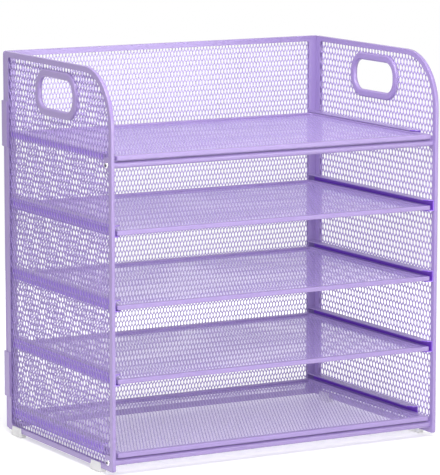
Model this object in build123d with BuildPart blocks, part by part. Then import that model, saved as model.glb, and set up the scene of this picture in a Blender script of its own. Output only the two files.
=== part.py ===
"""A five-tier paper tray in steel mesh: two handled side panels, a back panel and sliding trays.

Sizes are in millimetres. The origin is on the floor, under the middle of the
part's box. +Z is up, the open front faces -Y and +X is to the right.
"""
import os
from math import sqrt

from build123d import *

os.makedirs("parts", exist_ok=True)

# Frame as a whole
frame_width = 345.0
side_depth = 217.9
panel_height = 362.0
front_corner_radius = 52.0
small_corner_radius = 2.5
tier_count = 5
cut_overrun = 2.0

# Folded channel that edges the panels, and the mesh that it clamps
rim_width = 5.2
rear_rim_width = 7.8
rim_thickness = 3.5
rim_web = 1.0
rim_round = 0.8
mesh_thickness = 0.6
mesh_clearance = 0.15
net_margin = 0.8
net_open_share = 0.62
net_stagger_share = 0.5
net_least_hole_share = 0.08
side_net_columns = 10
side_net_rows = 17
back_net_columns = 12
back_net_rows = 10
tray_net_columns = 14
tray_net_rows = 7

# Hand hole near the top of each side panel
handle_length = 68.5
handle_height = 28.5
handle_radius = 12.5
handle_rim_width = 7.4
handle_rim_thickness = 4.6
handle_rim_round = 1.8
handle_setback = 110.6
handle_drop = 31.0

# Back panel
back_rim_width = 5.4
back_post_width = 11.2

# Clips that hold the back panel to the side panels
clip_height = 43.0
clip_upper_drop = 68.5
clip_lower_rise = 53.3
clip_sheet = 1.0
clip_side_leaf = 6.0
clip_back_leaf = 9.0
clip_bead_radius = 2.3
clip_bead_inset = 2.2
clip_bead_sink = 0.5

# Trays
tray_lowest_level = 12.5
top_bay_height = 80.3
tray_front_inset = 2.0
tray_rear_clearance = 1.0
tray_side_play = 2.2
tray_rim_width = 6.0
tray_rim_height = 4.2
tray_corner_radius = 1.5

# Rails that carry the trays
rail_height = 10.8
top_rail_height = 6.8
rail_width = 8.6
rail_sheet = 0.9
rail_round = 7.5
rail_running_clearance = 0.3
rail_front_inset = 1.5
end_rail_front_inset = 25.5
rail_rear_gap = 0.5

# Crossbars at the front, with their plugs, tabs and screws
bar_height = 5.8
bar_depth = 9.0
bar_round = 2.2
bar_wall = 0.9
bar_front_inset = 3.5
bar_tray_gap = 1.5
bar_end_clearance = 0.1
plug_length = 12.0
plug_clearance = 0.1
tab_reach = 15.4
tab_recess = 0.2
tab_rise = 6.5
tab_heel = 2.4
tab_drop = 7.2
tab_round = 2.0
screw_head_radius = 2.8
screw_head_height = 2.0
screw_head_round = 1.2
screw_shank_radius = 1.45
screw_shank_length = 12.0
screw_hole_clearance = 0.25
screw_thread_clearance = 0.05
screw_socket_radius = 1.3
screw_socket_depth = 1.1
screw_socket_sides = 6

# Feet
foot_drop = 4.0
foot_width = 8.0
foot_length = 20.5
foot_grip = 5.0
foot_taper = 7.0
foot_clearance = 0.1
foot_round = 2.0
foot_edge_round = 1.2
foot_front_setback = 33.0
foot_rear_setback = 19.9

# Places that follow from the sizes
clip_reach = clip_sheet + 2 * clip_bead_radius - clip_bead_sink
front_y = -(side_depth + rim_thickness + clip_reach) / 2
rear_y = front_y + side_depth
back_y = rear_y + rim_thickness
outer_x = frame_width / 2
inner_x = outer_x - rim_thickness
panel_bottom = foot_drop
panel_top = panel_bottom + panel_height
side_middle_y = front_y + side_depth / 2
panel_middle_z = panel_bottom + panel_height / 2
groove_width = mesh_thickness + 2 * mesh_clearance
mesh_inset = rim_web + mesh_clearance
side_mesh_x = outer_x - rim_thickness / 2
handle_y = front_y + handle_setback
handle_z = panel_top - handle_drop
tier_pitch = (panel_height - tray_lowest_level - top_bay_height) / (tier_count - 1)
tray_levels = [panel_top - top_bay_height - tier * tier_pitch for tier in range(tier_count)]
tray_width = frame_width - 2 * (rim_thickness + rail_sheet + tray_side_play)
tray_depth = side_depth - tray_front_inset - tray_rear_clearance
tray_middle_y = front_y + tray_front_inset + tray_depth / 2
bar_y = front_y + bar_front_inset + bar_depth / 2
bar_levels = [level - bar_tray_gap - bar_height / 2 for level in (tray_levels[0], tray_levels[-1])]
bar_half = inner_x - bar_end_clearance
bar_ledge_depth = bar_depth - 2 * bar_round
bar_ledge_height = bar_tray_gap - rail_running_clearance
screw_places = [(bar_y, level) for level in bar_levels]
tab_front_y = front_y + rim_width
tab_rear_y = front_y + tab_reach
tab_bottom = panel_bottom + rim_width
tab_outer_x = outer_x - tab_recess


def save(piece, name):
    """Label a finished piece and write it as the node of that name."""
    piece.label = name
    export_step(piece, f"parts/{name}.step")


def save_pair(piece, name):
    """Write a right-hand piece, and its mirror image as the left-hand one."""
    save(piece, f"right_{name}")
    with BuildPart() as mirrored:
        mirror(piece, about=Plane.YZ)
    save(mirrored.part, f"left_{name}")


def side_outline(inset, rear_inset):
    """A side panel's outline, with an inset and another at its rear post, y across and z up."""
    with BuildSketch() as outline:
        with Locations((front_y + inset, panel_middle_z)):
            Rectangle(
                side_depth - inset - rear_inset,
                panel_height - 2 * inset,
                align=(Align.MIN, Align.CENTER),
            )
        corners = outline.vertices().sort_by_distance((front_y, panel_top))
        fillet(corners[1:], small_corner_radius)
        front_top = outline.vertices().sort_by_distance((front_y, panel_top))[0]
        fillet(front_top, front_corner_radius - inset)
    return outline.sketch


def handle_outline(growth):
    """The hand hole's outline moved outwards by a growth, with y across and z up."""
    with BuildSketch() as outline:
        with Locations((handle_y, handle_z)):
            RectangleRounded(
                handle_length + 2 * growth, handle_height + 2 * growth, handle_radius + growth
            )
    return outline.sketch


def tab_outlines(growth):
    """The two screw tabs of a side, grown at their free edges, with y across and z up."""
    rear = tab_rear_y + growth
    with BuildSketch() as outlines:
        upper = bar_levels[0]
        Polygon(
            (tab_front_y, upper + tab_rise + growth),
            (tab_front_y, upper - tab_drop - growth),
            (rear, upper - tab_heel - growth),
            (rear, upper + tab_rise + growth),
            align=None,
        )
        lower_top = bar_levels[1] + tab_rise + growth
        with Locations((tab_front_y, tab_bottom)):
            Rectangle(rear - tab_front_y, lower_top - tab_bottom, align=(Align.MIN, Align.MIN))
        rim_corner = outlines.vertices().sort_by_distance((tab_front_y, tab_bottom))[0]
        fillet(rim_corner, small_corner_radius)
    return outlines.sketch


def back_outline(side_inset, end_inset):
    """The back panel's outline, inset at its posts and at its top and bottom, in x and z."""
    with BuildSketch() as outline:
        with Locations((0, panel_middle_z)):
            RectangleRounded(
                frame_width - 2 * side_inset, panel_height - 2 * end_inset, small_corner_radius
            )
    return outline.sketch


def tray_outline(inset):
    """A tray's outline moved inwards by an inset, in x and y."""
    with BuildSketch() as outline:
        with Locations((0, tray_middle_y)):
            RectangleRounded(tray_width - 2 * inset, tray_depth - 2 * inset, tray_corner_radius)
    return outline.sketch


def net_grid(middle, field, columns, rows):
    """Staggered hole centres that fill a field, and the four corners of one diamond hole."""
    column_pitch = field[0] / (columns + net_stagger_share)
    row_pitch = field[1] / (rows + 1)
    centres = []
    for row in range(rows):
        stagger = column_pitch * net_stagger_share * ((row % 2) - net_stagger_share)
        for column in range(columns):
            across = middle[0] + stagger + (column - (columns - 1) / 2) * column_pitch
            up = middle[1] + (row - (rows - 1) / 2) * row_pitch
            centres.append((across, up))
    half_width = column_pitch * sqrt(net_open_share) / 2
    half_height = row_pitch * sqrt(net_open_share)
    corners = [(0, half_height), (-half_width, 0), (0, -half_height), (half_width, 0)]
    return centres, corners


def side_net_holes():
    """The gaps of a side net, trimmed at the rim, the hand hole and the tabs, y across and z up."""
    field = (
        side_depth - rim_width - rear_rim_width - 2 * net_margin,
        panel_height - 2 * (rim_width + net_margin),
    )
    middle = (side_middle_y + (rim_width - rear_rim_width) / 2, panel_middle_z)
    centres, corners = net_grid(middle, field, side_net_columns, side_net_rows)
    least_area = net_least_hole_share * 2 * corners[0][1] * corners[-1][0]
    with BuildSketch() as holes:
        with Locations(*centres):
            Polygon(*corners)
        add(
            side_outline(rim_width + net_margin, rear_rim_width + net_margin),
            mode=Mode.INTERSECT,
        )
        add(handle_outline(handle_rim_width + net_margin), mode=Mode.SUBTRACT)
        add(tab_outlines(net_margin), mode=Mode.SUBTRACT)
    return [hole for hole in holes.sketch.faces() if hole.area > least_area]


# Side rims: a channel with a rounded outer edge, and a groove for the mesh
with BuildPart() as side_rim:
    with BuildSketch(Plane.YZ.offset(inner_x)):
        add(side_outline(0, 0))
        add(side_outline(rim_width, rear_rim_width), mode=Mode.SUBTRACT)
    extrude(amount=rim_thickness)
    flat_faces = side_rim.faces().filter_by(Axis.X)
    fillet([edge for face in flat_faces for edge in face.outer_wire().edges()], rim_round)
    with BuildSketch(Plane.YZ.offset(side_mesh_x - groove_width / 2)):
        add(side_outline(rim_web, rim_web))
        add(
            side_outline(rim_width + cut_overrun, rear_rim_width + cut_overrun),
            mode=Mode.SUBTRACT,
        )
    extrude(amount=groove_width, mode=Mode.SUBTRACT)
save_pair(side_rim.part, "side_rim")

# Side meshes: a holed sheet, cut out for the hand hole and round the screw tabs
with BuildPart() as side_mesh:
    with BuildSketch(Plane.YZ.offset(side_mesh_x - mesh_thickness / 2)):
        add(side_outline(mesh_inset, mesh_inset))
        add(handle_outline(rim_web + mesh_clearance), mode=Mode.SUBTRACT)
        add(tab_outlines(mesh_clearance), mode=Mode.SUBTRACT)
        add(side_net_holes(), mode=Mode.SUBTRACT)
    extrude(amount=mesh_thickness)
save_pair(side_mesh.part, "side_mesh")

# Handle rims: a thicker rounded ring that grips the edge of the mesh
with BuildPart() as handle_rim:
    with BuildSketch(Plane.YZ.offset(side_mesh_x - handle_rim_thickness / 2)):
        add(handle_outline(handle_rim_width))
        add(handle_outline(0), mode=Mode.SUBTRACT)
    extrude(amount=handle_rim_thickness)
    fillet(handle_rim.faces().filter_by(Axis.X).edges(), handle_rim_round)
    with BuildSketch(Plane.YZ.offset(side_mesh_x - groove_width / 2)):
        add(handle_outline(handle_rim_width + cut_overrun))
        add(handle_outline(rim_web), mode=Mode.SUBTRACT)
    extrude(amount=groove_width, mode=Mode.SUBTRACT)
save_pair(handle_rim.part, "handle_rim")

# Screw tabs: plates behind the front post that take the crossbar screws
with BuildPart() as screw_tabs:
    with BuildSketch(Plane.YZ.offset(inner_x)):
        add(tab_outlines(0))
    extrude(amount=rim_thickness - tab_recess)
    rear_edges = screw_tabs.edges().filter_by(Axis.X).group_by(Axis.Y)[-1]
    fillet(rear_edges, tab_round)
    with BuildSketch(Plane.YZ.offset(inner_x)):
        with Locations(*screw_places):
            Circle(screw_shank_radius + screw_hole_clearance)
    extrude(amount=rim_thickness, mode=Mode.SUBTRACT)
save_pair(screw_tabs.part, "screw_tabs")

# Back rim: wider posts, which lie behind the side panels, and a groove for the mesh
with BuildPart() as back_rim:
    with BuildSketch(Plane.XZ.offset(-back_y)):
        add(back_outline(0, 0))
        add(back_outline(back_post_width, back_rim_width), mode=Mode.SUBTRACT)
    extrude(amount=rim_thickness)
    flat_faces = back_rim.faces().filter_by(Axis.Y)
    fillet([edge for face in flat_faces for edge in face.outer_wire().edges()], rim_round)
    with BuildSketch(Plane.XZ.offset(-(back_y - rim_thickness / 2 + groove_width / 2))):
        add(back_outline(rim_web, rim_web))
        add(
            back_outline(back_post_width + cut_overrun, back_rim_width + cut_overrun),
            mode=Mode.SUBTRACT,
        )
    extrude(amount=groove_width, mode=Mode.SUBTRACT)
save(back_rim.part, "back_rim")

# Back mesh
with BuildPart() as back_mesh:
    back_field = (
        frame_width - 2 * (back_post_width + net_margin),
        panel_height - 2 * (back_rim_width + net_margin),
    )
    back_holes, hole_corners = net_grid(
        (0, panel_middle_z), back_field, back_net_columns, back_net_rows
    )
    with BuildSketch(Plane.XZ.offset(-(back_y - rim_thickness / 2 + mesh_thickness / 2))):
        add(back_outline(mesh_inset, mesh_inset))
        with Locations(*back_holes):
            Polygon(*hole_corners, mode=Mode.SUBTRACT)
    extrude(amount=mesh_thickness)
save(back_mesh.part, "back_mesh")

# Rear corner clips: an angle round the corner, with a rolled bead along its back
with BuildPart() as rear_corner_clips:
    for clip_z in (panel_top - clip_upper_drop, panel_bottom + clip_lower_rise):
        with BuildSketch(Plane.XY.offset(clip_z - clip_height / 2)):
            with Locations((outer_x + clip_sheet, back_y + clip_sheet)):
                Rectangle(
                    clip_sheet,
                    clip_sheet + rim_thickness + clip_side_leaf,
                    align=(Align.MAX, Align.MAX),
                )
                Rectangle(clip_sheet + clip_back_leaf, clip_sheet, align=(Align.MAX, Align.MAX))
            with Locations((outer_x - clip_bead_inset, back_y + clip_reach - clip_bead_radius)):
                Circle(clip_bead_radius)
        extrude(amount=clip_height)
    mirror(about=Plane.YZ)
save(rear_corner_clips.part, "rear_corner_clips")

# Crossbars: rounded tubes across the front, with a ledge on top that the tray runs over
for bar_name, bar_z in zip(("top_crossbar", "bottom_crossbar"), bar_levels):
    with BuildPart() as crossbar:
        with BuildSketch(Plane.YZ.offset(-bar_half)):
            with Locations((bar_y, bar_z)):
                RectangleRounded(bar_depth, bar_height, bar_round)
                RectangleRounded(
                    bar_depth - 2 * bar_wall,
                    bar_height - 2 * bar_wall,
                    bar_round - bar_wall,
                    mode=Mode.SUBTRACT,
                )
            with Locations((bar_y, bar_z + bar_height / 2 - bar_wall / 2)):
                Rectangle(
                    bar_ledge_depth,
                    bar_ledge_height + bar_wall / 2,
                    align=(Align.CENTER, Align.MIN),
                )
        extrude(amount=2 * bar_half)
    save(crossbar.part, bar_name)

# Threaded plugs inside the ends of the crossbars
with BuildPart() as crossbar_end_plugs:
    with BuildSketch(Plane.YZ.offset(bar_half - plug_length)):
        with Locations(*screw_places):
            RectangleRounded(
                bar_depth - 2 * (bar_wall + plug_clearance),
                bar_height - 2 * (bar_wall + plug_clearance),
                bar_round - bar_wall - plug_clearance,
            )
            Circle(screw_shank_radius + screw_thread_clearance, mode=Mode.SUBTRACT)
    extrude(amount=plug_length)
    mirror(about=Plane.YZ)
save(crossbar_end_plugs.part, "crossbar_end_plugs")

# Dome-head screws with a six-sided socket
with BuildPart() as crossbar_screws:
    with BuildSketch(Plane.YZ.offset(tab_outer_x)):
        with Locations(*screw_places):
            Circle(screw_head_radius)
    extrude(amount=screw_head_height)
    fillet(crossbar_screws.faces().sort_by(Axis.X)[-2:].edges(), screw_head_round)
    with BuildSketch(Plane.YZ.offset(tab_outer_x + screw_head_height)):
        with Locations(*screw_places):
            RegularPolygon(screw_socket_radius, screw_socket_sides)
    extrude(amount=-screw_socket_depth, mode=Mode.SUBTRACT)
    with BuildSketch(Plane.YZ.offset(tab_outer_x)):
        with Locations(*screw_places):
            Circle(screw_shank_radius)
    extrude(amount=-screw_shank_length)
    mirror(about=Plane.YZ)
save(crossbar_screws.part, "crossbar_screws")

# Feet: a tapered block with a slot that clips over the bottom rim
foot_places = {
    "front": front_y + foot_front_setback,
    "rear": rear_y - foot_rear_setback,
}
for foot_name, foot_y in foot_places.items():
    with BuildPart() as foot:
        with BuildSketch():
            with Locations((side_mesh_x, foot_y)):
                RectangleRounded(foot_width, foot_length, foot_round)
        extrude(amount=foot_drop + foot_grip, taper=foot_taper)
        fillet(foot.faces().sort_by(Axis.Z)[0].edges(), foot_edge_round)
        with BuildSketch(Plane.XY.offset(panel_bottom)):
            with Locations((side_mesh_x, foot_y)):
                Rectangle(rim_thickness + 2 * foot_clearance, foot_length + 2 * cut_overrun)
        extrude(amount=foot_grip + cut_overrun, mode=Mode.SUBTRACT)
    save(foot.part, f"{foot_name}_right_foot")
    with BuildPart() as left_foot:
        mirror(foot.part, about=Plane.YZ)
    save(left_foot.part, f"{foot_name}_left_foot")

# Rails: C sections on the inside of the side panels, set back where a crossbar is in front
for tier, level in enumerate(tray_levels):
    at_crossbar = tier in (0, tier_count - 1)
    rail_front_y = front_y + (end_rail_front_inset if at_crossbar else rail_front_inset)
    rail_rear_y = rear_y - rail_rear_gap
    height = top_rail_height if tier == 0 else rail_height
    shelf_z = level - rail_running_clearance
    with BuildPart() as rail:
        with BuildSketch(Plane.XZ.offset(-rail_rear_y)):
            with Locations((inner_x, shelf_z - rail_sheet)):
                Rectangle(rail_width, height, align=(Align.MAX, Align.MIN))
            with Locations((inner_x - rail_sheet, shelf_z)):
                Rectangle(
                    rail_width + cut_overrun,
                    height - 2 * rail_sheet,
                    align=(Align.MAX, Align.MIN),
                    mode=Mode.SUBTRACT,
                )
        extrude(amount=rail_rear_y - rail_front_y)
        front_edges = rail.edges().filter_by(Axis.Z).group_by(Axis.Y)[0]
        fillet(front_edges.group_by(Axis.X)[0], rail_round)
    save_pair(rail.part, f"rail_{tier + 1}")

# Trays: a folded rim round a mesh floor
for tier, level in enumerate(tray_levels):
    floor_z = level + tray_rim_height / 2
    with BuildPart() as tray_rim:
        with BuildSketch(Plane.XY.offset(level)):
            add(tray_outline(0))
            add(tray_outline(tray_rim_width), mode=Mode.SUBTRACT)
        extrude(amount=tray_rim_height)
        flat_faces = tray_rim.faces().filter_by(Axis.Z)
        fillet([edge for face in flat_faces for edge in face.outer_wire().edges()], rim_round)
        with BuildSketch(Plane.XY.offset(floor_z - groove_width / 2)):
            add(tray_outline(rim_web))
            add(tray_outline(tray_rim_width + cut_overrun), mode=Mode.SUBTRACT)
        extrude(amount=groove_width, mode=Mode.SUBTRACT)
    save(tray_rim.part, f"tray_{tier + 1}_rim")

    with BuildPart() as tray_mesh:
        tray_field = (
            tray_width - 2 * (tray_rim_width + net_margin),
            tray_depth - 2 * (tray_rim_width + net_margin),
        )
        tray_holes, hole_corners = net_grid(
            (0, tray_middle_y), tray_field, tray_net_columns, tray_net_rows
        )
        with BuildSketch(Plane.XY.offset(floor_z - mesh_thickness / 2)):
            add(tray_outline(mesh_inset))
            with Locations(*tray_holes):
                Polygon(*hole_corners, mode=Mode.SUBTRACT)
        extrude(amount=mesh_thickness)
    save(tray_mesh.part, f"tray_{tier + 1}_mesh")
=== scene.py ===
"""A five-tier desk paper tray in lavender steel mesh, dressed for rendering.

Lengths are in metres. +Z is up, the open front faces -Y and +X is to the right.
"""
from math import ceil, cos, hypot, pi, radians, sin, sqrt

import bmesh
import bpy
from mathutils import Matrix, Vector


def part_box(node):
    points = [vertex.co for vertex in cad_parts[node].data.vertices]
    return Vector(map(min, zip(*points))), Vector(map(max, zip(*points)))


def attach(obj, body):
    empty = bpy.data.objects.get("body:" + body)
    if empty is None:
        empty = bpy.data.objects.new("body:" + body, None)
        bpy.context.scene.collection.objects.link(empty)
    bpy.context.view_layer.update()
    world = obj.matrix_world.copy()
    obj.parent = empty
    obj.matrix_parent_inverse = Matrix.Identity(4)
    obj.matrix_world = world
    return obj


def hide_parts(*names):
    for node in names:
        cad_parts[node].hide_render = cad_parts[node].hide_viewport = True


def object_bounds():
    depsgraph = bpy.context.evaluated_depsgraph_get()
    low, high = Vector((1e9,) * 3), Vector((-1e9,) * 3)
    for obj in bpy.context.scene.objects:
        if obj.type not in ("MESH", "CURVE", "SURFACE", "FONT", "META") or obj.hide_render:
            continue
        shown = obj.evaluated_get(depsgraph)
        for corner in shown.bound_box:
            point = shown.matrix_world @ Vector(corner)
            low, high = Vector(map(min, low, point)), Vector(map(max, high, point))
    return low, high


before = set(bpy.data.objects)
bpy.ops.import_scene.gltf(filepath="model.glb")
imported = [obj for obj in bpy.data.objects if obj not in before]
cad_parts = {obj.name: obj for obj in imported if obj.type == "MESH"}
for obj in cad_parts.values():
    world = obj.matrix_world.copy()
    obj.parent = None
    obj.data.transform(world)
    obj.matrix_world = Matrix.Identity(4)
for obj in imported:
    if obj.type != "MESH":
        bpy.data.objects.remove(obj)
cad_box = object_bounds()


# Side rims: a strip of sheet steel folded over the edge of each side mesh and powder coated.
# It runs round the whole panel, wider down the rear post, with a wide bend at the front top.

rim_band = 0.0052
rear_band = 0.0078
rim_fold = 0.0007
rim_wall = 0.0007
fold_steps = 4
front_bend = 0.052
small_bend = 0.0025
wide_steps = 20
small_steps = 4
side_turn = (pi / 2, 0, pi / 2)
smooth_limit = radians(35)
sharp_limit = radians(60)
lavender = (0.295, 0.214, 0.472, 1)
pale_lavender = (0.325, 0.242, 0.506, 1)
coat_roughness = (0.28, 0.42)
coat_cloud_size = 0.045
coat_grain_size = 0.0007
coat_grain_height = 0.00002
coat_weight = 0.5
coat_gloss = 0.22
cloud_detail = 3.0
grain_detail = 2.0
cloud_share = 0.7
pebble_strength = 0.5
mix_first = 6
mix_second = 7
mix_result = 2
near = 0.00001
hands = {"left": -1, "right": 1}


class Wire:
    """A socket of a finish. Sums of wires add Math nodes, and add() makes any other node."""

    def __init__(self, tree, socket=None):
        self.tree = tree
        self.socket = socket

    def add(self, kind, settings, sockets, output=0):
        node = self.tree.nodes.new(kind)
        for name, value in settings.items():
            setattr(node, name, value)
        for name, value in sockets.items():
            if isinstance(value, Wire):
                self.tree.links.new(value.socket, node.inputs[name])
            else:
                node.inputs[name].default_value = value
        return Wire(self.tree, node.outputs[output]) if node.outputs else node

    def sum(self, operation, first, second):
        return self.add("ShaderNodeMath", {"operation": operation}, {0: first, 1: second})

    def __add__(self, other):
        return self.sum("ADD", self, other)

    def __radd__(self, other):
        return self.sum("ADD", other, self)

    def __mul__(self, other):
        return self.sum("MULTIPLY", self, other)

    def __rmul__(self, other):
        return self.sum("MULTIPLY", other, self)


def new_finish(name):
    """An empty material, and the wire that its nodes start from."""
    material = bpy.data.materials.new(name)
    material.use_nodes = True
    material.node_tree.nodes.clear()
    return material, Wire(material.node_tree)


def clouded(name, dark, light, cloud_size, grain_size, roughness, pebble, **constants):
    """A finish with cloudy colour, uneven gloss and a fine pebbled surface."""
    material, wire = new_finish(name)
    position = wire.add("ShaderNodeTexCoord", {}, {}, "Object")
    cloud = wire.add(
        "ShaderNodeTexNoise", {},
        {"Vector": position, "Scale": 1 / cloud_size, "Detail": cloud_detail},
    )
    grain = wire.add(
        "ShaderNodeTexNoise", {},
        {"Vector": position, "Scale": 1 / grain_size, "Detail": grain_detail},
    )
    colour = wire.add(
        "ShaderNodeMix", {"data_type": "RGBA"},
        {"Factor": cloud, mix_first: dark, mix_second: light}, mix_result,
    )
    blend = cloud_share * cloud + (1 - cloud_share) * grain
    gloss = roughness[0] + (roughness[1] - roughness[0]) * blend
    pebbles = wire.add(
        "ShaderNodeBump", {}, {"Strength": pebble_strength, "Distance": pebble, "Height": grain}
    )
    sockets = {"Base Color": colour, "Roughness": gloss, "Normal": pebbles}
    sockets.update({socket.replace("_", " "): value for socket, value in constants.items()})
    shader = wire.add("ShaderNodeBsdfPrincipled", {}, sockets)
    wire.add("ShaderNodeOutputMaterial", {}, {"Surface": shader})
    return material


def powder_coat(name, dark, light):
    """The satin powder coat of all the steel, between two shades."""
    return clouded(
        name, dark, light, coat_cloud_size, coat_grain_size, coat_roughness,
        coat_grain_height, Coat_Weight=coat_weight, Coat_Roughness=coat_gloss,
    )


def begin():
    """Drop every selection before a new piece is started."""
    bpy.ops.object.select_all(action="DESELECT")


def only(piece):
    """Make one piece the selected and active one."""
    begin()
    piece.select_set(True)
    bpy.context.view_layer.objects.active = piece


def settle(piece):
    """Put a piece's turn, place and scale into its mesh."""
    only(piece)
    bpy.ops.object.transform_apply(location=True, rotation=True, scale=True)


def weld(base, added):
    """Join a second shape to a base shape."""
    only(base)
    added.select_set(True)
    bpy.ops.object.join()


def pick(piece, kind, test):
    """Select, in edit mode, the points, edges or faces whose middle passes a test."""
    bpy.ops.mesh.select_mode(type=kind)
    bpy.ops.mesh.select_all(action="DESELECT")
    shape = bmesh.from_edit_mesh(piece.data)
    parts = {"VERT": shape.verts, "EDGE": shape.edges, "FACE": shape.faces}[kind]
    for part in parts:
        points = [part.co] if kind == "VERT" else [point.co for point in part.verts]
        if test(sum(points, Vector()) / len(points)):
            part.select_set(True)
    shape.select_flush_mode()
    bmesh.update_edit_mesh(piece.data)


def modify(piece, kind, **settings):
    """Give a piece a modifier and apply it."""
    only(piece)
    bpy.ops.object.modifier_add(type=kind)
    modifier = piece.modifiers[-1]
    for name, value in settings.items():
        setattr(modifier, name, value)
    bpy.ops.object.modifier_apply(modifier=modifier.name)


def smooth(piece):
    """Shade rounded edges smoothly and keep flat faces flat."""
    only(piece)
    bpy.ops.object.shade_smooth_by_angle(angle=smooth_limit)
    modify(piece, "WEIGHTED_NORMAL", keep_sharp=True)


def around(bend):
    """The same bend, a radius and its arc steps, for all four corners of a plate."""
    return {(side, end): bend for side in (-1, 1) for end in (-1, 1)}


def plate(size, bends):
    """A flat plate round the origin. A bend names a corner (x side, y side), radius and steps."""
    begin()
    bpy.ops.mesh.primitive_plane_add(size=1)
    sheet = bpy.context.object
    sheet.scale = (*size, 1)
    settle(sheet)
    bpy.ops.object.mode_set(mode="EDIT")
    for (side, end), (radius, steps) in bends.items():
        spot = Vector((side * size[0] / 2, end * size[1] / 2, 0))
        pick(sheet, "VERT", lambda co: (co - spot).length < near)
        bpy.ops.mesh.bevel(offset=radius, segments=steps, affect="VERTICES")
    bpy.ops.object.mode_set(mode="OBJECT")
    return sheet


def roll_edges(piece, fold):
    """Round off every sharp edge of a piece."""
    modify(
        piece, "BEVEL", width=fold, segments=fold_steps, limit_method="ANGLE",
        angle_limit=sharp_limit, use_clamp_overlap=False,
    )


def thicken(sheet, thickness, fold):
    """Give a flat sheet a thickness about its middle, and roll its edges."""
    modify(sheet, "SOLIDIFY", thickness=thickness, offset=0)
    roll_edges(sheet, fold)


def band(outer, inner):
    """The flat band between two plates."""
    weld(outer, inner)
    bpy.ops.object.mode_set(mode="EDIT")
    bpy.ops.mesh.select_all(action="SELECT")
    bpy.ops.mesh.delete(type="ONLY_FACE")
    bpy.ops.mesh.select_all(action="SELECT")
    bpy.ops.mesh.bridge_edge_loops()
    bpy.ops.mesh.select_all(action="SELECT")
    bpy.ops.mesh.normals_make_consistent(inside=False)
    bpy.ops.object.mode_set(mode="OBJECT")
    return outer


def channel(outer, inner, thickness, fold, wall):
    """A thin-walled U section round the edge of a panel, open towards the panel's middle."""
    piece = band(outer, inner)
    modify(piece, "SOLIDIFY", thickness=thickness, offset=0)
    bpy.ops.object.mode_set(mode="EDIT")
    bpy.ops.mesh.select_mode(type="FACE")
    bpy.ops.mesh.select_all(action="DESELECT")
    shape = bmesh.from_edit_mesh(piece.data)
    for face in shape.faces:
        face.select_set(face.normal.dot(face.calc_center_median()) < 0)
    bmesh.update_edit_mesh(piece.data)
    bpy.ops.mesh.delete(type="FACE")
    bpy.ops.object.mode_set(mode="OBJECT")
    roll_edges(piece, fold)
    modify(piece, "SOLIDIFY", thickness=wall, offset=-1)
    return piece


def ring(outer, inner, thickness, fold):
    """A solid band between two flat plates, with its edges rolled."""
    piece = band(outer, inner)
    thicken(piece, thickness, fold)
    return piece


def place(piece, turn, spot):
    """Turn a piece, move it to a spot and settle it there."""
    piece.rotation_euler = turn
    piece.location = spot
    settle(piece)


def dress(piece, name, body, node, finish):
    """Name a piece, coat it if it has no finish yet, and hang it on its body for a CAD node."""
    piece.name = name
    piece.data.name = name
    if not piece.data.materials:
        piece.data.materials.append(finish)
    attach(piece, body)
    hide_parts(node)


coat = powder_coat("lavender_powder_coat", lavender, pale_lavender)
for hand in hands:
    low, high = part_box(f"{hand}_side_rim")
    depth, height = high.y - low.y, high.z - low.z
    bends = around((small_bend, small_steps))
    bends[(-1, 1)] = (front_bend, wide_steps)
    outer = plate((depth, height), bends)
    bends[(-1, 1)] = (front_bend - rim_band, wide_steps)
    inner = plate((depth - rim_band - rear_band, height - 2 * rim_band), bends)
    inner.location.x = (rim_band - rear_band) / 2
    rim = channel(outer, inner, high.x - low.x, rim_fold, rim_wall)
    place(rim, side_turn, (low + high) / 2)
    smooth(rim)
    dress(rim, f"{hand}_side_channel", "frame", f"{hand}_side_rim", coat)


# Side meshes: a honeycomb of steel strands, coated with the panel. The coat is painted lighter
# than the rims for the light the thin strands catch, and painted darker on the outer face as the
# shade that lies there. The rim grips its edge, and it stops short inside the ring of the hand
# hole.

side_column = 0.00543
side_row = 0.0059
side_strand = 0.00088
straight_share = 0.4
gap_sides = 6
strand_sides = 4
net_sheet = 0.0007
# painted light: a lighter copy of the panel's lavender for all the nets, for the light the thin
# strands catch
net_painted_light_lavender = (0.365, 0.275, 0.590, 1)
net_painted_light_pale_lavender = (0.405, 0.312, 0.630, 1)
# painted shade: a darker copy of the net's coat for its outer face, which lies in shade
outer_painted_shade_lavender = (0.225, 0.152, 0.430, 1)
outer_painted_shade_pale_lavender = (0.255, 0.178, 0.465, 1)
trim_planes = 9
cut_tolerance = 0.0000007
facing = 0.5
handle_band = 0.0074


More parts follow.
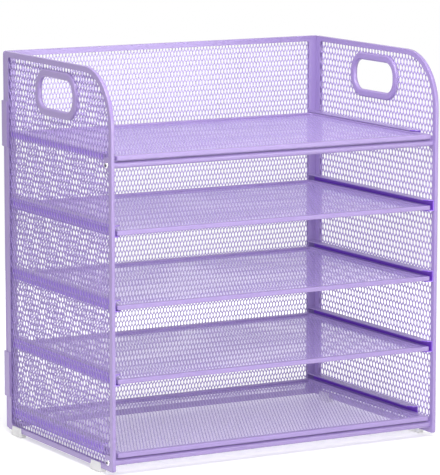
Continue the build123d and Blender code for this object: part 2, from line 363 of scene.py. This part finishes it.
def honeycomb(size, column, row, strand):
    """A flat net of tall six-sided gaps, round the origin and a cell larger than a size."""
    columns = ceil(size[0] / column) + 2
    row_pairs = ceil(size[1] / (2 * row)) + 1
    begin()
    bpy.ops.mesh.primitive_circle_add(vertices=gap_sides, radius=1, fill_type="NGON")
    net = bpy.context.object
    net.scale = (column / sqrt(3), row * straight_share, 1)
    settle(net)
    bpy.ops.object.mode_set(mode="EDIT")
    pick(net, "VERT", lambda co: abs(co.x) < near)
    stretch = (1 - straight_share / 2) / straight_share
    bpy.ops.transform.resize(value=(1, stretch, 1), center_override=(0, 0, 0))
    bpy.ops.object.mode_set(mode="OBJECT")
    steps = [(2, (column / 2, row, 0)), (columns, (column, 0, 0)), (row_pairs, (0, 2 * row, 0))]
    for count, step in steps:
        modify(
            net, "ARRAY", count=count, use_relative_offset=False,
            use_constant_offset=True, constant_offset_displace=step,
        )
    net.location = (-(columns - 0.5) * column / 2, -(2 * row_pairs - 1) * row / 2, 0)
    settle(net)
    bpy.ops.object.mode_set(mode="EDIT")
    bpy.ops.mesh.select_all(action="SELECT")
    bpy.ops.mesh.remove_doubles(threshold=near)
    bpy.ops.mesh.select_mode(type="EDGE")
    bpy.ops.mesh.select_all(action="SELECT")
    bpy.ops.mesh.bevel(offset=strand / 2, segments=1, affect="EDGES")
    bpy.ops.mesh.select_mode(type="FACE")
    bpy.ops.mesh.select_all(action="DESELECT")
    bpy.ops.mesh.select_face_by_sides(number=strand_sides, type="GREATER")
    bpy.ops.mesh.delete(type="FACE")
    bpy.ops.object.mode_set(mode="OBJECT")
    return net


def trim(net, planes):
    """Cut a flat net along planes, each a point and the direction that is cut away."""
    only(net)
    bpy.ops.object.mode_set(mode="EDIT")
    for point, direction in planes:
        bpy.ops.mesh.select_all(action="SELECT")
        bpy.ops.mesh.bisect(
            plane_co=point, plane_no=direction, clear_outer=True, threshold=cut_tolerance
        )
    bpy.ops.object.mode_set(mode="OBJECT")


def edge_planes(size):
    """The four planes that cut a net to a rectangle round the origin."""
    across, up = size[0] / 2, size[1] / 2
    return [
        ((across, 0, 0), (1, 0, 0)),
        ((-across, 0, 0), (-1, 0, 0)),
        ((0, up, 0), (0, 1, 0)),
        ((0, -up, 0), (0, -1, 0)),
    ]


def paint(piece, finishes, choose):
    """Give a piece several finishes. The test names the place of a face's finish in their row."""
    for finish in finishes:
        piece.data.materials.append(finish)
    for face in piece.data.polygons:
        face.material_index = choose(face)


net_painted_light_coat = powder_coat("painted_light_net_finish", net_painted_light_lavender, net_painted_light_pale_lavender)
outer_painted_shade_coat = powder_coat("painted_shade_outer_net_finish", outer_painted_shade_lavender, outer_painted_shade_pale_lavender)
for hand, side in hands.items():
    low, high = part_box(f"{hand}_side_mesh")
    middle = (low + high) / 2
    size = (high.y - low.y, high.z - low.z)
    net = honeycomb(size, side_column, side_row, side_strand)
    planes = edge_planes(size)
    bend = front_bend - (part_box(f"{hand}_side_rim")[1].z - high.z)
    hub = Vector((bend - size[0] / 2, size[1] / 2 - bend, 0))
    for step in range(1, trim_planes):
        turn = pi / 2 * step / trim_planes
        outwards = Vector((-cos(turn), sin(turn), 0))
        planes.append((hub + bend * outwards, outwards))
    trim(net, planes)
    handle_low, handle_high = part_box(f"{hand}_handle_rim")
    handle_middle = (handle_low + handle_high) / 2 - middle
    half_length = (handle_high.y - handle_low.y - handle_band) / 2
    half_height = (handle_high.z - handle_low.z - handle_band) / 2

    def in_handle(spot):
        """Whether a spot of the flat net lies inside the middle line of the hand hole's ring."""
        across = max(abs(spot.x - handle_middle.y) - half_length + half_height, 0)
        return hypot(across, spot.y - handle_middle.z) < half_height

    bpy.ops.object.mode_set(mode="EDIT")
    pick(net, "FACE", in_handle)
    bpy.ops.mesh.delete(type="FACE")
    bpy.ops.object.mode_set(mode="OBJECT")
    modify(net, "SOLIDIFY", thickness=net_sheet, offset=0)
    place(net, side_turn, middle)
    # painted shade on the faces turned outwards, painted light on the rest
    paint(net, (net_painted_light_coat, outer_painted_shade_coat), lambda face: int(face.normal.x * side > facing))
    dress(net, f"{hand}_side_net", "frame", f"{hand}_side_mesh", net_painted_light_coat)


# Hand holes: a thicker rolled ring of the same coated steel edges each opening. It covers the
# cut strands of the net, so that the panel can be gripped.

handle_fold = 0.0019
handle_bend = 0.0125
handle_steps = 12

for hand in hands:
    low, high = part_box(f"{hand}_handle_rim")
    size = Vector((high.y - low.y, high.z - low.z))
    opening = size - Vector((2 * handle_band, 2 * handle_band))
    outer = plate(size, around((handle_bend + handle_band, handle_steps)))
    inner = plate(opening, around((handle_bend, handle_steps)))
    handle = ring(outer, inner, high.x - low.x, handle_fold)
    place(handle, side_turn, (low + high) / 2)
    smooth(handle)
    dress(handle, f"{hand}_handle_ring", "frame", f"{hand}_handle_rim", coat)


# Screw tabs: small coated steel plates welded behind each front post, which take the crossbar
# screws. The upper one is cut off slantwise below, and the lower one stands on the bottom rim.

upper_tab_height = 0.0137
upper_tab_slant = 0.0048
lower_tab_height = 0.0094
tab_bend = 0.002
tab_fold = 0.0004

for hand in hands:
    low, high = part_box(f"{hand}_screw_tabs")
    middle = (low + high) / 2
    depth = high.y - low.y
    upper_middle = high.z - upper_tab_height / 2
    lower_middle = low.z + lower_tab_height / 2
    tabs = plate((depth, upper_tab_height), {(1, 1): (tab_bend, small_steps)})
    bpy.ops.object.mode_set(mode="EDIT")
    pick(tabs, "VERT", lambda co: co.x > 0 and co.y < 0)
    bpy.ops.transform.translate(value=(0, upper_tab_slant, 0))
    bpy.ops.mesh.bevel(offset=tab_bend, segments=small_steps, affect="VERTICES")
    bpy.ops.object.mode_set(mode="OBJECT")
    lower = plate((depth, lower_tab_height), {(1, 1): (tab_bend, small_steps)})
    lower.location.y = lower_middle - upper_middle
    weld(tabs, lower)
    thicken(tabs, high.x - low.x, tab_fold)
    place(tabs, side_turn, (middle.x, middle.y, upper_middle))
    smooth(tabs)
    dress(tabs, f"{hand}_tab_plates", "frame", f"{hand}_screw_tabs", coat)


# Back panel: the same folded and coated rim, wider along its posts, round a finer honeycomb
# that it grips on all four edges.

back_post = 0.0112
back_band = 0.0054
back_column = 0.00348
back_row = 0.00492
back_strand = 0.0007
back_turn = (pi / 2, 0, 0)
back_grip = 0.002

low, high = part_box("back_rim")
size = (high.x - low.x, high.z - low.z)
opening = (size[0] - 2 * back_post, size[1] - 2 * back_band)
outer = plate(size, around((small_bend, small_steps)))
inner = plate(opening, around((small_bend, small_steps)))
back = channel(outer, inner, high.y - low.y, rim_fold, rim_wall)
place(back, back_turn, (low + high) / 2)
smooth(back)
dress(back, "back_channel", "frame", "back_rim", coat)

low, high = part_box("back_mesh")
size = (opening[0] + 2 * back_grip, opening[1] + 2 * back_grip)
net = honeycomb(size, back_column, back_row, back_strand)
trim(net, edge_planes(size))
modify(net, "SOLIDIFY", thickness=net_sheet, offset=0)
place(net, back_turn, (low + high) / 2)
dress(net, "back_net", "frame", "back_mesh", net_painted_light_coat)


# Rear corner clips: angles of coated sheet bent round the corners where the back panel meets
# the sides, each with a rolled bead down its back.

clip_height = 0.043
clip_sheet = 0.001
clip_side_leaf = 0.0105
clip_back_leaf = 0.010
bead_radius = 0.0023
bead_inset = 0.0022
bead_sides = 24

low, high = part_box("rear_corner_clips")
corner_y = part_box("back_rim")[1].y + clip_sheet
bead_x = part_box("right_side_rim")[1].x - bead_inset
clip_levels = {"lower": low.z + clip_height / 2, "upper": high.z - clip_height / 2}
for hand, side in hands.items():
    corner_x = side * high.x
    for storey, level in clip_levels.items():
        clip = plate((clip_side_leaf, clip_height), {})
        place(clip, side_turn, (corner_x, corner_y - clip_side_leaf / 2, level))
        bpy.ops.object.mode_set(mode="EDIT")
        pick(clip, "EDGE", lambda co: abs(co.y - corner_y) < near)
        bpy.ops.mesh.extrude_edges_move(
            TRANSFORM_OT_translate={"value": (-side * clip_back_leaf, 0, 0)}
        )
        pick(clip, "EDGE", lambda co: hypot(co.x - corner_x, co.y - corner_y) < near)
        bpy.ops.mesh.bevel(offset=clip_sheet, segments=small_steps, affect="EDGES")
        bpy.ops.mesh.select_all(action="SELECT")
        bpy.ops.mesh.normals_make_consistent(inside=False)
        bpy.ops.object.mode_set(mode="OBJECT")
        modify(clip, "SOLIDIFY", thickness=clip_sheet, offset=-1)
        begin()
        bpy.ops.mesh.primitive_cylinder_add(
            vertices=bead_sides, radius=bead_radius, depth=clip_height,
            location=(side * bead_x, high.y - bead_radius, level),
        )
        weld(clip, bpy.context.object)
        smooth(clip)
        dress(clip, f"{hand}_{storey}_clip", "frame", "rear_corner_clips", coat)


# Crossbars: rounded tubes of coated steel across the front, under the top tray and under the
# bottom tray, each with a ledge for the tray to run over. Screws hold them, in plugs that stay
# out of sight in their ends.

bar_height = 0.0058
bar_ledge = 0.0012
bar_ledge_depth = 0.002
bar_ledge_setback = 0.0013
bar_bend = 0.0022
bar_wall = 0.0009
bar_steps = 6
bar_fold = 0.0002
dull_steel = (0.34, 0.34, 0.35, 1)
bright_steel = (0.42, 0.42, 0.43, 1)
steel_roughness = (0.32, 0.48)

for bar in ("top", "bottom"):
    low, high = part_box(f"{bar}_crossbar")
    middle = Vector((0, (low.y + high.y) / 2, low.z + bar_height / 2))
    size = Vector((high.y - low.y, bar_height))
    outer = plate(size, around((bar_bend, bar_steps)))
    inner = plate(
        size - Vector((2 * bar_wall, 2 * bar_wall)), around((bar_bend - bar_wall, bar_steps))
    )
    tube = ring(outer, inner, high.x - low.x, bar_fold)
    place(tube, side_turn, middle)
    begin()
    ledge_middle = middle + Vector((0, bar_ledge_setback, (bar_height + bar_ledge - bar_wall) / 2))
    bpy.ops.mesh.primitive_cube_add(size=1, location=ledge_middle)
    ledge = bpy.context.object
    ledge.scale = (high.x - low.x, bar_ledge_depth, bar_ledge + bar_wall)
    settle(ledge)
    weld(tube, ledge)
    smooth(tube)
    dress(tube, f"{bar}_front_bar", "frame", f"{bar}_crossbar", coat)

steel = clouded(
    "plain_steel", dull_steel, bright_steel, coat_cloud_size, coat_grain_size, steel_roughness,
    coat_grain_height, Metallic=1.0,
)
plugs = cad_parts["crossbar_end_plugs"]
plugs.data.materials.clear()
plugs.data.materials.append(steel)


# Crossbar screws: nickel-plated steel, with bright dome heads and a six-sided socket painted dark
# as shadow. They are driven in from outside, through the tabs and into the plugs.

head_radius = 0.0028
head_height = 0.002
head_round = 0.0012
head_steps = 6
head_sides = 32
socket_sides = 6
socket_radius = 0.0015
socket_depth = 0.0011
shank_radius = 0.00145
shank_length = 0.012
# painted shadow for the socket's recess
socket_shade = (0.010, 0.008, 0.020, 1)
socket_edge_shade = (0.030, 0.022, 0.055, 1)
dull_nickel = (0.72, 0.70, 0.76, 1)
bright_nickel = (0.84, 0.82, 0.88, 1)
nickel_roughness = (0.14, 0.22)

begin()
bpy.ops.mesh.primitive_cylinder_add(
    vertices=head_sides, radius=head_radius, depth=head_height, location=(0, 0, head_height / 2)
)
screw = bpy.context.object
settle(screw)
bpy.ops.object.mode_set(mode="EDIT")
pick(screw, "EDGE", lambda co: co.z > head_height - head_round / 2)
bpy.ops.mesh.bevel(offset=head_round, segments=head_steps, affect="EDGES")
bpy.ops.object.mode_set(mode="OBJECT")
begin()
bpy.ops.mesh.primitive_cylinder_add(
    vertices=socket_sides, radius=socket_radius, depth=2 * socket_depth,
    location=(0, 0, head_height),
)
socket_cutter = bpy.context.object
modify(screw, "BOOLEAN", operation="DIFFERENCE", object=socket_cutter)
bpy.data.objects.remove(socket_cutter)
begin()
bpy.ops.mesh.primitive_cylinder_add(
    vertices=head_sides, radius=shank_radius, depth=shank_length,
    location=(0, 0, -shank_length / 2),
)
weld(screw, bpy.context.object)
smooth(screw)
nickel = clouded(
    "bright_nickel", dull_nickel, bright_nickel, coat_cloud_size, coat_grain_size,
    nickel_roughness, coat_grain_height, Metallic=1.0,
)
socket_shadow = clouded(
    "socket_shadow", socket_shade, socket_edge_shade, coat_grain_size, coat_grain_size,
    steel_roughness, coat_grain_height,
)


def in_socket(face):
    """Whether a face of the upright screw lies in the socket of its head: 1 or 0."""
    return int(0 < face.center.z < head_height and face.center.xy.length < socket_radius)


def copied(piece, turn, spot):
    """A copy of a piece with its own mesh, turned and put in its place."""
    only(piece)
    bpy.ops.object.duplicate()
    twin = bpy.context.object
    place(twin, turn, spot)
    return twin


paint(screw, (nickel, socket_shadow), in_socket)
tab_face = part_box("right_screw_tabs")[1].x
for bar in ("top", "bottom"):
    low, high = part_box(f"{bar}_crossbar")
    for hand, side in hands.items():
        spot = (side * tab_face, (low.y + high.y) / 2, low.z + bar_height / 2)
        twin = copied(screw, (0, side * pi / 2, 0), spot)
        dress(twin, f"{hand}_{bar}_screw", "frame", "crossbar_screws", nickel)
bpy.data.objects.remove(screw)


# Feet: small tapered blocks of milky plastic near the ends of the side panels. Each is moulded
# with a slot and clips on the bottom rim.

foot_width = 0.008
foot_length = 0.0205
foot_top_width = 0.0058
foot_top_length = 0.0183
foot_bend = 0.002
foot_edge = 0.0012
foot_gap = 0.0001
milky_grey = (0.80, 0.80, 0.79, 1)
milky_white = (0.88, 0.88, 0.87, 1)
foot_roughness = (0.30, 0.42)
foot_clearness = 0.45
plastic_index = 1.46
no_turn = (0, 0, 0)

foot_low, foot_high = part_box("front_left_foot")
rim_low, rim_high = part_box("left_side_rim")
foot_height = foot_high.z - foot_low.z
begin()
bpy.ops.mesh.primitive_cube_add(size=1, location=(0, 0, foot_height / 2))
foot = bpy.context.object
foot.scale = (foot_width, foot_length, foot_height)
settle(foot)
bpy.ops.object.mode_set(mode="EDIT")
pick(foot, "VERT", lambda co: co.z > foot_height / 2)
narrowing = (foot_top_width / foot_width, foot_top_length / foot_length, 1)
bpy.ops.transform.resize(value=narrowing, center_override=(0, 0, foot_height))
pick(foot, "EDGE", lambda co: abs(co.z - foot_height / 2) < near)
bpy.ops.mesh.bevel(offset=foot_bend, segments=small_steps, affect="EDGES")
pick(foot, "EDGE", lambda co: co.z < near)
bpy.ops.mesh.bevel(offset=foot_edge, segments=small_steps, affect="EDGES")
bpy.ops.object.mode_set(mode="OBJECT")
begin()
slot_width = rim_high.x - rim_low.x + 2 * foot_gap
bpy.ops.mesh.primitive_cube_add(size=1, location=(0, 0, rim_low.z + foot_height / 2))
slot_cutter = bpy.context.object
slot_cutter.scale = (slot_width, 2 * foot_length, foot_height)
settle(slot_cutter)
modify(foot, "BOOLEAN", operation="DIFFERENCE", object=slot_cutter)
bpy.data.objects.remove(slot_cutter)
smooth(foot)
milky = clouded(
    "milky_plastic", milky_grey, milky_white, coat_cloud_size, coat_grain_size, foot_roughness,
    coat_grain_height, Transmission_Weight=foot_clearness, IOR=plastic_index,
)
for end in ("front", "rear"):
    for hand in hands:
        low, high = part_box(f"{end}_{hand}_foot")
        twin = copied(foot, no_turn, ((low.x + high.x) / 2, (low.y + high.y) / 2, low.z))
        dress(twin, f"{end}_{hand}_pad", "frame", f"{end}_{hand}_foot", milky)
bpy.data.objects.remove(foot)


# Runners: C sections of thin folded sheet, fixed inside the side panels, which carry the trays.
# Their flanges are rounded off at the front so that a tray finds its way in. The flanges' outer
# faces and lips keep the lavender coat; the rest of each runner is painted a saturated violet as
# shade, and its inside a deep violet as deeper painted shade.

# painted shade: a more saturated violet copy of the coat for the back of each runner's web, which
# lies in shade behind the side mesh
runner_painted_shade_violet = (0.285, 0.155, 0.640, 1)
runner_painted_shade_pale_violet = (0.320, 0.185, 0.690, 1)
# painted shade: a deep violet copy of the coat for the inside of the runners, where shade gathers
# in the channel
slot_painted_deep_shade_violet = (0.150, 0.042, 0.480, 1)
slot_painted_deep_shade_pale_violet = (0.180, 0.056, 0.530, 1)
runner_sheet = 0.0009
runner_round = 0.0075
runner_round_steps = 8
runner_fold = 0.0011
lip_reach = 0.00009
tiers = range(1, 6)


def runner(low, high, side):
    """A C section that fills a box, with its web on one side (-1 left, 1 right)."""
    middle = (low + high) / 2
    web = high.x if side > 0 else low.x
    lip = low.x if side > 0 else high.x
    piece = plate((high.y - low.y, high.z - low.z), {})
    place(piece, side_turn, (web, middle.y, middle.z))
    bpy.ops.object.mode_set(mode="EDIT")
    for level in (low.z, high.z):
        pick(piece, "EDGE", lambda co: abs(co.z - level) < near and abs(co.y - middle.y) < near)
        bpy.ops.mesh.extrude_edges_move(TRANSFORM_OT_translate={"value": (lip - web, 0, 0)})
    pick(piece, "VERT", lambda co: abs(co.x - lip) < near and abs(co.y - low.y) < near)
    bpy.ops.mesh.bevel(offset=runner_round, segments=runner_round_steps, affect="VERTICES")
    pick(piece, "EDGE", lambda co: abs(co.x - web) < near and abs(co.y - middle.y) < near)
    bpy.ops.mesh.bevel(offset=runner_fold, segments=small_steps, affect="EDGES")
    bpy.ops.mesh.select_all(action="SELECT")
    bpy.ops.mesh.normals_make_consistent(inside=False)
    bpy.ops.object.mode_set(mode="OBJECT")
    modify(piece, "SOLIDIFY", thickness=runner_sheet, offset=-1)
    return piece


runner_painted_shade_coat = powder_coat("painted_shade_runner_finish", runner_painted_shade_violet, runner_painted_shade_pale_violet)
slot_painted_deep_shade_coat = powder_coat("painted_deep_shade_runner_slot_finish", slot_painted_deep_shade_violet, slot_painted_deep_shade_pale_violet)
for tier in tiers:
    for hand, side in hands.items():
        node = f"{hand}_rail_{tier}"
        low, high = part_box(node)
        rail = runner(low, high, side)
        smooth(rail)

        def coat_of(face):
            """0 on the back of the web, 1 on the flanges' outer faces and lips, 2 inside; 0 and 2
            are painted shade.
            """
            lip = low.x if side > 0 else high.x
            upper = face.center.z > (low.z + high.z) / 2
            outwards = face.normal.z if upper else -face.normal.z
            if abs(face.center.x - lip) < lip_reach or outwards > facing:
                return 1
            return 2 if outwards < -facing or face.normal.x * side < -facing else 0

        paint(rail, (runner_painted_shade_coat, coat, slot_painted_deep_shade_coat), coat_of)
        dress(rail, f"{hand}_runner_{tier}", "frame", node, runner_painted_shade_coat)


# Trays: a folded rim of coated steel round a thin honeycomb floor. All five are alike, lie in
# the runners and slide out forwards.

tray_band = 0.006
tray_bend = 0.0015
tray_bend_steps = 4
tray_column = 0.0033
tray_row = 0.00344
tray_strand = 0.00075
tray_sheet = 0.00025

for tier in tiers:
    low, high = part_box(f"tray_{tier}_rim")
    size = Vector((high.x - low.x, high.y - low.y))
    opening = size - Vector((2 * tray_band, 2 * tray_band))
    bends = around((tray_bend, tray_bend_steps))
    edge = ring(plate(size, bends), plate(opening, bends), high.z - low.z, rim_fold)
    place(edge, no_turn, (low + high) / 2)
    smooth(edge)
    dress(edge, f"tray_{tier}_edge", f"tray_{tier}", f"tray_{tier}_rim", coat)

low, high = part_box("tray_1_mesh")
size = (high.x - low.x, high.y - low.y)
net = honeycomb(size, tray_column, tray_row, tray_strand)
trim(net, edge_planes(size))
modify(net, "SOLIDIFY", thickness=tray_sheet, offset=0)
for tier in tiers:
    node = f"tray_{tier}_mesh"
    low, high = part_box(node)
    twin = copied(net, no_turn, (low + high) / 2)
    dress(twin, f"tray_{tier}_floor", f"tray_{tier}", node, net_painted_light_coat)
bpy.data.objects.remove(net)


# Studio: a round pale floor, an even white surround, a weak shadowless fill from the left, and
# softboxes above, in front and behind. The low one on the right gives the front faces their
# sheen, and the one behind leaves no glare on the trays.

floor_radius = 1.0
floor_sides = 64
floor_drop = 0.0002
floor_colour = (0.78, 0.78, 0.78, 1)
floor_glow = 0.40
surround_light = 0.35
mirrored_surround = 0.75
fill_light = 1.2
fill_from = Vector((-0.90, -0.35, 0.35))
white = (1, 1, 1, 1)
softboxes = {
    "top_softbox": (Vector((-0.20, -0.30, 1.60)), (1.0, 1.0), 4.0),
    "high_softbox": (Vector((-0.20, -0.45, 1.05)), (0.5, 0.5), 7.2),
    "front_softbox": (Vector((-0.16, -1.00, 0.45)), (0.5, 0.5), 3.2),
    "low_softbox": (Vector((0.85, -2.15, 0.28)), (1.2, 0.5), 11.0),
    "rear_softbox": (Vector((0.70, 1.70, 0.80)), (1.0, 1.0), 14.0),
}


def rays(wire):
    """Whether a ray comes from the camera, from a mirroring face or through clear plastic."""
    kinds = ("Is Camera Ray", "Is Glossy Ray", "Is Transmission Ray")
    return [wire.add("ShaderNodeLightPath", {}, {}, kind) for kind in kinds]


begin()
bpy.ops.mesh.primitive_circle_add(vertices=floor_sides, radius=floor_radius, fill_type="NGON")
ground = bpy.context.object
ground.name = "studio_floor"
place(ground, no_turn, (0, 0, -floor_drop))
paper, wire = new_finish("studio_paper")
seen, mirrored, passed = rays(wire)
shown = wire.sum("MAXIMUM", seen, wire.sum("MAXIMUM", mirrored, passed))
matte = wire.add("ShaderNodeBsdfDiffuse", {}, {"Color": floor_colour})
glow = wire.add("ShaderNodeEmission", {}, {"Color": white, "Strength": floor_glow * shown})
surface = wire.add("ShaderNodeAddShader", {}, {0: matte, 1: glow})
wire.add("ShaderNodeOutputMaterial", {}, {"Surface": surface})
ground.data.materials.append(paper)

world = bpy.data.worlds.new("studio")
bpy.context.scene.world = world
world.use_nodes = True
world.node_tree.nodes.clear()
wire = Wire(world.node_tree)
seen, mirrored, passed = rays(wire)
strength = (
    surround_light
    + (1 - surround_light) * seen
    + (mirrored_surround - surround_light) * mirrored
    + (1 - mirrored_surround) * passed
)
sky = wire.add("ShaderNodeBackground", {}, {"Color": white, "Strength": strength})
wire.add("ShaderNodeOutputWorld", {}, {"Surface": sky})

target = (cad_box[0] + cad_box[1]) / 2
fill = bpy.data.lights.new("fill_light", "SUN")
fill.energy = fill_light
fill.use_shadow = False
lamps = [(fill, target + fill_from)]
for name, (spot, size, power) in softboxes.items():
    softbox = bpy.data.lights.new(name, "AREA")
    softbox.shape = "RECTANGLE"
    softbox.size, softbox.size_y = size
    softbox.energy = power
    lamps.append((softbox, spot))
for lamp, spot in lamps:
    holder = bpy.data.objects.new(lamp.name, lamp)
    holder.location = spot
    holder.rotation_euler = (target - spot).to_track_quat("-Z", "Y").to_euler()
    holder.visible_glossy = spot.y < target.y
    bpy.context.scene.collection.objects.link(holder)


# Camera: a long lens at the front left, a little above the top tray. It stands far off, so that
# the posts stay nearly parallel.

view_turn = radians(-29.30)
view_lift = radians(8.72)
view_distance = 2.955
view_focus = 255.0
sensor_width = 36.0
aim_shift = Vector((0.0045, 0.0059, 0.0057))

aim = target + aim_shift
camera = bpy.data.cameras.new("camera")
camera.sensor_fit = "HORIZONTAL"
camera.sensor_width = sensor_width
camera.lens = view_focus
camera_object = bpy.data.objects.new("camera", camera)
backwards = Vector(
    (sin(view_turn) * cos(view_lift), -cos(view_turn) * cos(view_lift), sin(view_lift))
)
camera_object.location = aim + view_distance * backwards
camera_object.rotation_euler = (-backwards).to_track_quat("-Z", "Y").to_euler()
bpy.context.scene.collection.objects.link(camera_object)
bpy.context.scene.camera = camera_object
bpy.context.scene.view_settings.view_transform = "Standard"
